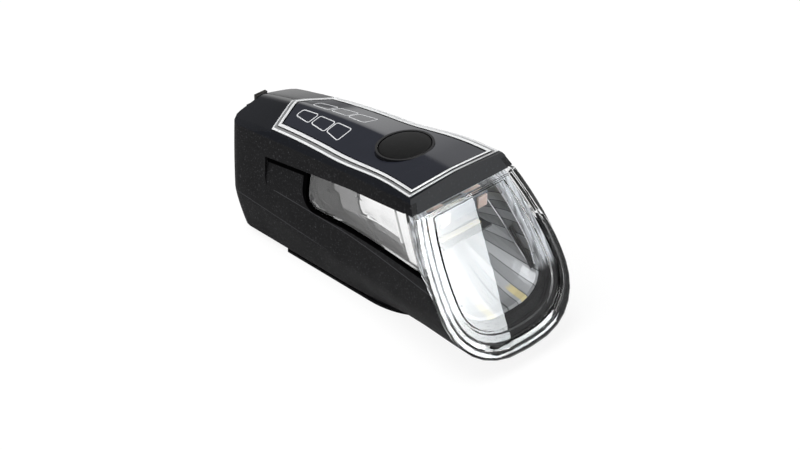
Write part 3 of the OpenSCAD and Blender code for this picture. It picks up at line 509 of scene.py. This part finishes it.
class StudioSettings(PropertyGroup):
    """Camera and light"""
    azimuth: FloatProperty(name="Azimuth", description="Direction of the camera around the object",
                           default=radians(46.05), subtype="ANGLE")
    elevation: FloatProperty(name="Elevation", description="Height angle of the camera",
                             default=radians(33.0), subtype="ANGLE")
    eye: FloatVectorProperty(name="Camera place", description="Where the camera stands", size=3,
                             default=(0.40807, -0.38608, 0.38107), subtype="XYZ", unit="LENGTH")
    focal: FloatProperty(name="Focal length", description="Focal length in millimetres on a 36 mm sensor",
                         default=108.0)
    sky: FloatProperty(name="Sky", description="Strength of the soft light from all around", default=0.3)


# Indicator marks: places of the rear edge and of the front edge, with the distances of their inner and
# outer ends from the middle of the print, in millimetres
MARKS = [
    {"rear": (-29.0, 1.5, 4.7), "front": (-22.4, 1.5, 6.0)},
    {"rear": (-21.7, 1.75, 5.7), "front": (-15.0, 2.0, 6.9)},
    {"rear": (-14.7, 1.85, 6.35), "front": (-8.3, 2.05, 8.0)},
]
MARK_MIDDLE = -0.6
MARK_CUTS = 6


# Strips on the side of the body, in millimetres: a height at x = 0, its rise along the beam, edges below and
# above it, where it fades in and out, and the tone of a painted highlight along a crease against the body's
CREASE_HIGHLIGHTS = (
    {"height": 22.95, "rise": 0.0404, "edges": (-0.07, 0.07), "soft": 0.12,
     "from": (-29, -26), "to": (44, 50), "tone": 4.2},
    {"height": 13.5, "rise": 0.0, "edges": (-0.07, 0.07), "soft": 0.12,
     "from": (-60, -58), "to": (-14, 0), "tone": 3.8},
)
BAND_HEIGHT, BAND_RISE = 36.47, 0.1769
# Painted shade: a black strip under the band's overhang, from its rear end forward.
SHADE_UNDER_BAND = (
    {"height": BAND_HEIGHT, "rise": BAND_RISE, "edges": (-1.9, 0.0), "soft": 0.04,
     "from": (-31.8, -31.6), "to": (44, 50)},
)


# Painted shade of the open slot around a window, below the band: sizes of its ellipses against the window's
# corner, and where it fades out along the beam, in millimetres
SLOT_SHADE = {"height": BAND_HEIGHT, "rise": BAND_RISE, "ellipses": ((0.9, 0.9), (1.85, 1.4)),
         "soft": 0.06, "fades": (40.0, 46.0)}


# Bowl behind the lens, in millimetres: the fan of its facets, ribs on its walls, the height at which its rim
# turns pale, and the shelf below the lamps
# The fan paints the facets lighter and darker in turn, with dark seams and a gold reflection in one: painted
# reflection and shade.
FAN = {"height": 31.0, "step": radians(11), "painted_gleam": (0.84, 0.74, 0.42), "gleam_x": (42 * MM, 44 * MM),
       "gleam_from": (radians(14.5), radians(16)), "gleam_to": (radians(21.5), radians(22.5))}
BOWL_RIBS = {
    "bowl_rib": {"radius": 0.3, "points": ((28.2, 10.4, 35.2), (32.7, 12.5, 28.6), (37.1, 13.6, 22.5),
                                           (41.3, 13.8, 18.7), (44.6, 13.4, 16.6))},
    "bowl_fin": {"radius": 0.35, "points": ((34.0, 13.6, 33.9), (37.2, 14.5, 28.9), (40.0, 15.0, 24.9),
                                            (42.0, 15.2, 21.7), (44.4, 14.3, 17.9))},
    "bowl_rib_black": {"radius": 0.55, "points": ((35.6, 13.5, 26.2), (37.0, 13.8, 24.2), (39.6, 14.1, 21.2),
                                                  (42.2, 14.0, 18.5), (44.4, 13.4, 17.0))},
}
BEZEL_FADE = (16.0, 19.0)
SHELF_PLACE, SHELF_SIZE = (30.6, 0.0, 27.8), (5.4, 18.0, 0.7)
STRIP_PLACE, STRIP_SIZE = (30.0, 0.0, 28.3), (1.6, 15.0, 0.3)
SHELF_SOFT = 0.15 * MM
SHELF_GREY, STRIP_GOLD = (0.05, 0.05, 0.055), (0.62, 0.55, 0.36)
CARRIER_GREY, CHIP_PINK = (0.16, 0.18, 0.21), (0.92, 0.62, 0.52)
RIM_PALE = (0.85, 0.87, 0.9)


# Side window and the terraces behind it, in millimetres: the outline's rear, lower edge and round corner, how
# far each terrace lies inside it, how far its rear end is drawn back, and the plate behind the front end
WINDOW_REAR = -12.9
WINDOW_LOW = 24.0
WINDOW_RISE = 0.1
WINDOW_CORNER = (3.4, 4.5)
TERRACE_REAR = (0.0, 10.5, 21.5)
TERRACE_LOW = (0.0, 2.4, 4.4)
# Tones painted on the terraces stand for the reflections and shade on them: dark, grey and white.
TERRACE_PAINTED_LIGHT = (0.01, 0.2, 1.0)
TERRACE_SLACK = 0.3
TERRACE_ROUND = 6.0
TERRACE_BACK = {2: 3.3, 3: 4.0}
END_CUT = (35.0, 0.0, 22.0)
END_BACK, END_DEEP = 0.4, 2.0


class HEADLIGHT_OT_body(Operator):
    """Matt body shell and the foot under it"""
    bl_idname = "headlight.body"
    bl_label = "Body"

    def execute(self, context):
        size, tint = context.scene.headlight_sizes, context.scene.headlight_colours
        # The body's finish carries painted highlights along its creases and painted shade under the band and
        # around the window.
        moulding = grained_plastic("body_grain_and_painted_light", tuple(tint.body), size.grain, size.grain_depth, 0.5,
                                   CREASE_HIGHLIGHTS, SHADE_UNDER_BAND, SLOT_SHADE)
        dress("lower_housing", "body_shell", moulding, 32.0)
        dress("mount_foot", "slide_foot", moulding)
        dress("foot_screws", "foot_screw_set", bright_metal("screw_steel", COLOUR["steel"], 0.25))
        return {"FINISHED"}


class HEADLIGHT_OT_cover(Operator):
    """Gloss roof and the trim around its panel, with the trim's chrome reflections and shade painted into its
    colours
    """
    bl_idname = "headlight.cover"
    bl_label = "Cover and trim"

    GROOVE_HIGH = 0.12
    STEEP = 0.3
    FRONT_LIKE = 0.9
    SIDE_LIKE = 0.7

    def execute(self, context):
        tint = context.scene.headlight_colours
        roof = dress("top_cover", "gloss_roof", gloss_plastic("roof_gloss", tuple(tint.cover), 0.06), 28.0)
        even_roof(roof, RIDGE_SOFT)
        roof.data.materials.append(soft_rubber("hood_matt", tuple(tint.cover), 0.6, 0.14))
        roof.data.materials.append(soft_rubber("edge_matt", tuple(tint.cover), 0.6, 0.05))
        for face in roof.data.polygons:
            edge = abs(face.normal.y) > self.SIDE_LIKE
            face.material_index = 2 if edge else int(face.normal.dot(BEAM) > self.FRONT_LIKE)
        ring = dress("chrome_trim", "bright_ring", silver_lacquer("ring_painted_reflection", tuple(tint.trim), 0.2), 25.0)
        ring.data.materials.append(silver_lacquer("ring_groove_painted_dark", scaled(tuple(tint.trim), 0.3), 0.25))
        ring.data.materials.append(gloss_plastic("ring_walls_painted_shade", COLOUR["bezel_black"], 0.3))
        # Painted reflection and shade: the trim is pale, its groove darker grey and its steep walls black.
        for face in ring.data.polygons:
            deep = above_roof(face.center) < self.GROOVE_HIGH
            face.material_index = 2 if abs(face.normal.z) < self.STEEP else int(deep)
        finish_node("cover_seal", soft_rubber("seal_rubber", COLOUR["seal_rubber"]))
        return {"FINISHED"}


class HEADLIGHT_OT_panel(Operator):
    """Gloss panel and the outlines printed on it"""
    bl_idname = "headlight.panel"
    bl_label = "Panel and marks"

    PANEL_RIDGE = 0.7

    def execute(self, context):
        size, tint = context.scene.headlight_sizes, context.scene.headlight_colours
        gloss = gloss_plastic("panel_gloss", tuple(tint.panel), 0.05)
        panel = dress("display_panel", "roof_panel", gloss, 20.0)
        even_roof(panel, self.PANEL_RIDGE)
        ink = printed_ink("mark_ink", tuple(tint.ink))
        for side, word in ((-1, "right"), (1, "left")):
            for index, mark in enumerate(MARKS):
                piece = self.outline(f"mark_{word}_{index + 1}", mark, side, panel, size)
                paint(piece, ink)
                settle(piece, "housing")
        return {"FINISHED"}

    def outline(self, name, mark, side, panel, size):
        """A rounded four-sided outline that lies on the panel."""
        above = Vector((0, 0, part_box("display_panel")[1].z + MM))
        deselect()
        bpy.ops.mesh.primitive_plane_add(size=MM, location=above)
        piece = bpy.context.object
        piece.name = name
        bpy.ops.object.transform_apply(location=True, rotation=True, scale=True)
        starts = {(v.co.x > 0, v.co.y > 0): v.index for v in piece.data.vertices}
        for (ahead, outer), index in starts.items():
            x, *ends = mark["front" if ahead else "rear"]
            goal = Vector((x, side * ends[outer] + MARK_MIDDLE, 0)) * MM + above
            away = goal - piece.data.vertices[index].co
            move_corners(piece, lambda corner: corner.index == index, away)
        bpy.ops.object.mode_set(mode="EDIT")
        bpy.ops.mesh.select_all(action="SELECT")
        bpy.ops.mesh.normals_make_consistent(inside=False)
        bpy.ops.mesh.bevel(offset=size.mark_round, segments=4, affect="VERTICES")
        bpy.ops.mesh.select_all(action="SELECT")
        bpy.ops.mesh.inset(thickness=size.mark_line, depth=0)
        bpy.ops.mesh.delete(type="FACE")
        bpy.ops.mesh.select_all(action="SELECT")
        bpy.ops.mesh.subdivide(number_cuts=MARK_CUTS)
        bpy.ops.object.mode_set(mode="OBJECT")
        lay = piece.modifiers.new("lay", "SHRINKWRAP")
        lay.target = panel
        lay.wrap_method = "PROJECT"
        lay.use_project_z = True
        lay.use_negative_direction = True
        lay.use_positive_direction = False
        lay.offset = size.mark_rise / 2
        bpy.ops.object.modifier_apply(modifier=lay.name)
        ink = piece.modifiers.new("ink", "SOLIDIFY")
        ink.thickness = size.mark_rise
        ink.offset = 0.0
        bpy.ops.object.modifier_apply(modifier=ink.name)
        return piece


class HEADLIGHT_OT_button(Operator):
    """Rubber button, its collar and the switch under it"""
    bl_idname = "headlight.button"
    bl_label = "Button"

    def execute(self, context):
        tint = context.scene.headlight_colours
        dress("button_cup", "button_collar", gloss_plastic("collar_gloss", COLOUR["cup_plastic"], 0.1))
        rubber = soft_rubber("button_rubber", tuple(tint.button), 0.5, 0.15)
        dress("mode_button", "rubber_button", rubber, 40.0)
        finish_node("switch_plunger", satin_plastic("plunger_black", COLOUR["chip_black"]))
        finish_node("tact_switch", brushed_metal("switch_case", COLOUR["switch_metal"]))
        return {"FINISHED"}


class HEADLIGHT_OT_lens(Operator):
    """Clear lens, its gasket and the bezel behind it"""
    bl_idname = "headlight.lens"
    bl_label = "Lens"

    def execute(self, context):
        clear = clear_plastic("lens_clear", (0.99, 0.995, 1.0), 0.0008 * MM)
        dress("front_lens", "clear_lens", clear, 26.0)
        fade = fading_plastic("bezel_fade", COLOUR["bezel_black"], RIM_PALE, 0.4, BEZEL_FADE)
        dress("lens_gasket", "lens_seal", fade)
        dress("reflector_bezel", "black_bezel", fade)
        return {"FINISHED"}


class HEADLIGHT_OT_lamp(Operator):
    """Faceted bowl, the lamp in it and the heat sink behind it"""
    bl_idname = "headlight.lamp"
    bl_label = "Lamp"

    def execute(self, context):
        size, tint = context.scene.headlight_sizes, context.scene.headlight_colours
        dress("reflector", "faceted_bowl", painted_fan_mirror("bowl_painted_reflections", tuple(tint.bowl), 0.45, FAN), 0.0)
        bright = bright_metal("rib_chrome", COLOUR["bright_trim"], 0.1)
        black = gloss_plastic("rib_black", COLOUR["bezel_black"], 0.3)
        for side, word in ((-1, "right"), (1, "left")):
            for name, path in BOWL_RIBS.items():
                rib = self.rib(f"{name}_{word}", path, side)
                paint(rib, black if "black" in name else bright)
                settle(rib, "housing")
        self.shelf()
        dress("heat_sink", "finned_sink", brushed_metal("sink_metal", COLOUR["sink_metal"]),
              bevel=size.soft_edge)
        dress("led_board", "lamp_carrier", satin_plastic("carrier_grey", CARRIER_GREY, 0.3),
              bevel=size.soft_edge)
        dress("led_emitter", "lamp_chip", lamp_chip("chip_silicone", CHIP_PINK), bevel=size.soft_edge)
        finish_node("led_leads", soft_rubber("lead_black", COLOUR["lead_black"]))
        return {"FINISHED"}

    def rib(self, name, path, side):
        """A round rib along a curve on the bowl's wall."""
        deselect()
        bpy.ops.curve.primitive_nurbs_path_add(location=(0, 0, 0))
        curve = bpy.context.object
        spline = curve.data.splines[0]
        for point, (x, y, z) in zip(spline.points, path["points"]):
            point.co = (x * MM, side * y * MM, z * MM, 1.0)
        spline.use_endpoint_u = True
        spline.order_u = 3
        curve.data.bevel_depth = path["radius"] * MM
        curve.data.bevel_resolution = 2
        curve.data.use_fill_caps = True
        bpy.ops.object.convert(target="MESH")
        piece = bpy.context.object
        piece.name = name
        bpy.ops.object.shade_smooth_by_angle(angle=radians(40))
        return piece

    def shelf(self):
        """Dark shelf below the lamps, with a pale strip along its middle."""
        for name, place, size, material in (
                ("lamp_shelf", SHELF_PLACE, SHELF_SIZE, satin_plastic("shelf_grey", SHELF_GREY, 0.3)),
                ("lamp_strip", STRIP_PLACE, STRIP_SIZE, satin_plastic("strip_gold", STRIP_GOLD, 0.25))):
            deselect()
            bpy.ops.mesh.primitive_cube_add(size=MM, location=Vector(place) * MM, scale=size)
            piece = bpy.context.object
            piece.name = name
            bpy.ops.object.transform_apply(location=True, rotation=True, scale=True)
            soften(piece, SHELF_SOFT)
            paint(piece, material)
            settle(piece, "housing")


class HEADLIGHT_OT_windows(Operator):
    """Clear side panes and the terraced trays behind them, whose dark, grey and white terraces are painted
    reflection and shade
    """
    bl_idname = "headlight.windows"
    bl_label = "Side windows"

    def execute(self, context):
        clear = clear_plastic("pane_clear", (1.0, 1.0, 1.0), 0.001 * MM)
        rim = satin_plastic("tray_rim", COLOUR["bezel_black"])
        painted_light_tones = [bright_metal(f"tray_painted_light_{number}", (tone,) * 3, 0.18)
                 for number, tone in enumerate(TERRACE_PAINTED_LIGHT, 1)]
        for side in ("left", "right"):
            dress("side_window_" + side, "pane_" + side, clear)
            tray = dress("side_mirror_" + side, "tray_" + side, rim, 20.0)
            paint(tray, rim, *painted_light_tones)
            for face in tray.data.polygons:
                face.material_index = self.terrace(face.center)
            for number, away in TERRACE_BACK.items():
                self.draw_back(tray, number, away)
            end = self.front_end("tray_end_" + side, "side_window_" + side)
            paint(end, painted_light_tones[-1])
            settle(end, "housing")
        return {"FINISHED"}

    def draw_back(self, tray, number, away):
        """Moves the round rear end of one terrace back along the window."""
        ahead = (WINDOW_REAR + TERRACE_REAR[number - 1] + TERRACE_ROUND) * MM
        take(tray)
        move_corners(tray, lambda corner: self.terrace(corner.co) == number and corner.co.x < ahead,
                     Vector((-away, 0.0, -away * WINDOW_RISE)) * MM)

    def front_end(self, name, pane):
        """A plate of the pane's shape behind its front end, which carries on the tray's white terrace, a
        painted reflection.
        """
        piece = merged_copy(pane, name)
        bpy.ops.mesh.bisect(plane_co=Vector(END_CUT) * MM, plane_no=BEAM, use_fill=True, clear_inner=True)
        bpy.ops.mesh.select_all(action="SELECT")
        inward = -1 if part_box(pane)[0].y > 0 else 1
        bpy.ops.transform.translate(value=(-END_BACK * MM, inward * END_DEEP * MM, 0))
        bpy.ops.object.mode_set(mode="OBJECT")
        bpy.ops.object.shade_smooth_by_angle(angle=radians(30))
        return piece

    def terrace(self, spot):
        """0 outside the window's outline, or the number of the terrace that a place lies on."""
        x, z = spot.x / MM, spot.z / MM
        low = WINDOW_LOW + (x - WINDOW_REAR) * WINDOW_RISE
        number = 0
        for along, up in zip(TERRACE_REAR, TERRACE_LOW):
            corner = max(0.0, 1 - (z - low - up) / WINDOW_CORNER[1])
            rear = WINDOW_REAR + along + WINDOW_CORNER[0] * (1 - max(0.0, 1 - corner * corner) ** 0.5)
            if z > low + up - TERRACE_SLACK and x > rear - TERRACE_SLACK:
                number += 1
        return number


class HEADLIGHT_OT_port(Operator):
    """Charging socket with its flap and pin"""
    bl_idname = "headlight.port"
    bl_label = "Charging port"

    def execute(self, context):
        size = context.scene.headlight_sizes
        dress("usb_flap", "port_flap", soft_rubber("flap_rubber", COLOUR["flap_rubber"], 0.5),
              bevel=size.soft_edge)
        dress("flap_pin", "port_pin", bright_metal("pin_steel", COLOUR["steel"], 0.2))
        dress("usb_socket", "port_socket", brushed_metal("socket_steel", COLOUR["steel"]))
        return {"FINISHED"}


class HEADLIGHT_OT_inside(Operator):
    """Battery, boards and leads"""
    bl_idname = "headlight.inside"
    bl_label = "Inside"

    def execute(self, context):
        finish_node("main_board", circuit_board("board_mask", COLOUR["board_green"]))
        finish_node("board_parts", satin_plastic("chip_black", COLOUR["chip_black"]))
        finish_node("indicator_leds", lamp_chip("small_lamps", COLOUR["small_lamp"]))
        finish_node("light_guide", clear_plastic("guide_clear", (0.9, 0.93, 0.95), 0.002 * MM))
        finish_node("battery_cell", gloss_plastic("cell_film", COLOUR["cell_wrap"], 0.2))
        finish_node("battery_cradle", satin_plastic("cradle_black", COLOUR["cradle_plastic"]))
        finish_node("battery_leads", soft_rubber("lead_red", COLOUR["lead_red"]))
        return {"FINISHED"}


class HEADLIGHT_OT_stage(Operator):
    """White floor, soft light and the camera"""
    bl_idname = "headlight.stage"
    bl_label = "Studio"

    SENSOR = 36.0
    CLIP = 0.01
    FLOOR_SIZE = 8.0
    FLOOR_DROP = 0.02 * MM
    FLOOR_PLAIN = 0.8
    FLOOR_GLOW = 0.88
    FLOOR_SHADE = 0.16
    CEILING = 0.15
    FRONT = 0.3
    WALL_TOP = (0.40, 0.60)
    WALL_SIDE = (0.38, 0.60)
    AHEAD = (0.2, 0.6)
    LENS_MIDDLE = Vector((0.046, 0, 0.022))
    CARD_EDGE = (Vector((0.464, 0.367, 0.243)), Vector((0.510, 0.351, 0.170)))
    CARD_SIZE = (0.30, 0.40)
    CARD_GLOW = 24.0
    CARD_FADE = (-0.5, -0.38)
    CARD_TONES = (0.54, 0.56, 0.57), (0.97, 0.99, 1.0)
    LAMPS = {
        "top_softbox": {"place": (-0.15, -0.25, 0.9), "size": 0.7, "power": 6.0},
        "side_softbox": {"place": (-0.5, -0.8, 0.45), "size": 0.6, "power": 3.0},
    }

    def execute(self, context):
        studio = context.scene.headlight_studio
        context.scene.view_settings.view_transform = "Standard"
        self.camera(context, studio)
        self.floor()
        self.sky(context, studio)
        self.card()
        self.lamps()
        return {"FINISHED"}

    def camera(self, context, studio):
        deselect()
        turn = (radians(90) - studio.elevation, 0.0, studio.azimuth)
        bpy.ops.object.camera_add(location=studio.eye, rotation=turn)
        eye = bpy.context.object
        eye.data.lens = studio.focal
        eye.data.sensor_width = self.SENSOR
        eye.data.clip_start = self.CLIP
        context.scene.camera = eye

    def floor(self):
        deselect()
        bpy.ops.mesh.primitive_plane_add(size=self.FLOOR_SIZE, location=(0, 0, -self.FLOOR_DROP))
        floor = bpy.context.object
        floor.name = "floor"
        f = Finish("white_floor")
        camera, through = (f.node("LightPath", out=f"Is {kind} Ray") for kind in ("Camera", "Transmission"))
        seen = f.node("Clamp", None, {"Value": camera + through})
        glow = f.node("Emission", None, {"Color": (1, 1, 1, 1), "Strength": self.FLOOR_GLOW})
        shade = f.node("BsdfDiffuse", None, {"Color": (self.FLOOR_SHADE,) * 3 + (1,)})
        pale = f.node("AddShader", None, {0: glow, 1: shade})
        plain = f.node("BsdfDiffuse", None, {"Color": (self.FLOOR_PLAIN,) * 3 + (1,)})
        f.close(f.node("MixShader", None, {0: seen, 1: plain, 2: pale}))
        paint(floor, f.material)

    def sky(self, context, studio):
        """White all round where it shows, dim ahead and overhead in reflections, and soft light."""
        f = Finish("white_studio", "worlds")
        context.scene.world = f.material
        way = f.node("TexCoord", out="Generated")
        ahead, across, height = (f.node("SeparateXYZ", None, {0: way}, out=axis) for axis in "XYZ")
        camera, glossy, through = (f.node("LightPath", out=f"Is {kind} Ray")
                                   for kind in ("Camera", "Glossy", "Transmission"))
        walls = (1 - height.above(*self.WALL_TOP)) * across.above(*self.WALL_SIDE)
        dim = glossy * (1 - through) * (1 - walls) * (1 - self.CEILING)
        front = ahead.above(*self.AHEAD) * (1 - camera) * (1 - self.FRONT)
        light = f.node("Background", None, {"Color": (1, 1, 1, 1), "Strength": studio.sky})
        white = f.node("Background", None, {"Color": (1, 1, 1, 1), "Strength": (1 - dim) * (1 - front)})
        seen = f.node("Clamp", None, {"Value": camera + glossy + through})
        f.close(f.node("MixShader", None, {0: seen, 1: light, 2: white}), "OutputWorld")

    def card(self):
        """Bright card that the lens face mirrors, up to a straight edge."""
        top, low = self.CARD_EDGE
        along = (low - top).normalized()
        away = ((top + low) / 2 - self.LENS_MIDDLE).normalized()
        across = along.cross(away).normalized()
        if across.y > 0:
            across.negate()
        middle = (top + low) / 2 + across * self.CARD_SIZE[0] / 2
        turn = Matrix((across, along, across.cross(along))).transposed().to_euler()
        deselect()
        bpy.ops.mesh.primitive_plane_add(size=1.0, location=middle, rotation=turn)
        card = bpy.context.object
        card.name = "lens_card"
        card.scale = (self.CARD_SIZE[0], self.CARD_SIZE[1], 1.0)
        f = Finish("card_glow")
        x = f.node("SeparateXYZ", None, {0: f.place}, out="X")
        tone = f.blend(x.above(*self.CARD_FADE), *self.CARD_TONES)
        f.close(f.node("Emission", None, {"Color": tone, "Strength": self.CARD_GLOW}))
        paint(card, f.material)
        card.visible_camera = False
        card.visible_diffuse = False
        card.visible_transmission = False
        card.visible_shadow = False

    def lamps(self):
        """Soft boxes that face the origin and don't show in reflections."""
        for name, box in self.LAMPS.items():
            deselect()
            bpy.ops.object.light_add(type="AREA", location=box["place"])
            lamp = bpy.context.object
            lamp.name = name
            lamp.data.size = box["size"]
            lamp.data.energy = box["power"]
            lamp.visible_glossy = False
            lamp.rotation_euler = (-Vector(box["place"])).to_track_quat("-Z", "Y").to_euler()


class HEADLIGHT_PT_panel(Panel):
    """Sidebar panel with the headlight's pieces"""
    bl_idname = "HEADLIGHT_PT_panel"
    bl_label = "Bike headlight"
    bl_space_type = "VIEW_3D"
    bl_region_type = "UI"
    bl_category = "Headlight"

    def draw(self, context):
        for group in GROUPS:
            settings = getattr(context.scene, GROUPS[group])
            box = self.layout.box()
            for key in group.__annotations__:
                box.prop(settings, key)
        for step in STEPS:
            self.layout.operator(step.bl_idname)


GROUPS = {
    HeadlightSizes: "headlight_sizes",
    HeadlightColours: "headlight_colours",
    StudioSettings: "headlight_studio",
}
STEPS = (HEADLIGHT_OT_body, HEADLIGHT_OT_cover, HEADLIGHT_OT_panel, HEADLIGHT_OT_button, HEADLIGHT_OT_lens,
         HEADLIGHT_OT_lamp, HEADLIGHT_OT_windows, HEADLIGHT_OT_port, HEADLIGHT_OT_inside, HEADLIGHT_OT_stage)
CLASSES = (*GROUPS, *STEPS, HEADLIGHT_PT_panel)


def register():
    for cls in CLASSES:
        bpy.utils.register_class(cls)
    for group, name in GROUPS.items():
        setattr(bpy.types.Scene, name, PointerProperty(type=group))


def unregister():
    for name in GROUPS.values():
        delattr(bpy.types.Scene, name)
    for cls in reversed(CLASSES):
        bpy.utils.unregister_class(cls)


def main():
    register()
    for step in STEPS:
        group, name = step.bl_idname.split(".")
        getattr(getattr(bpy.ops, group), name)()


if __name__ == "__main__":
    main()
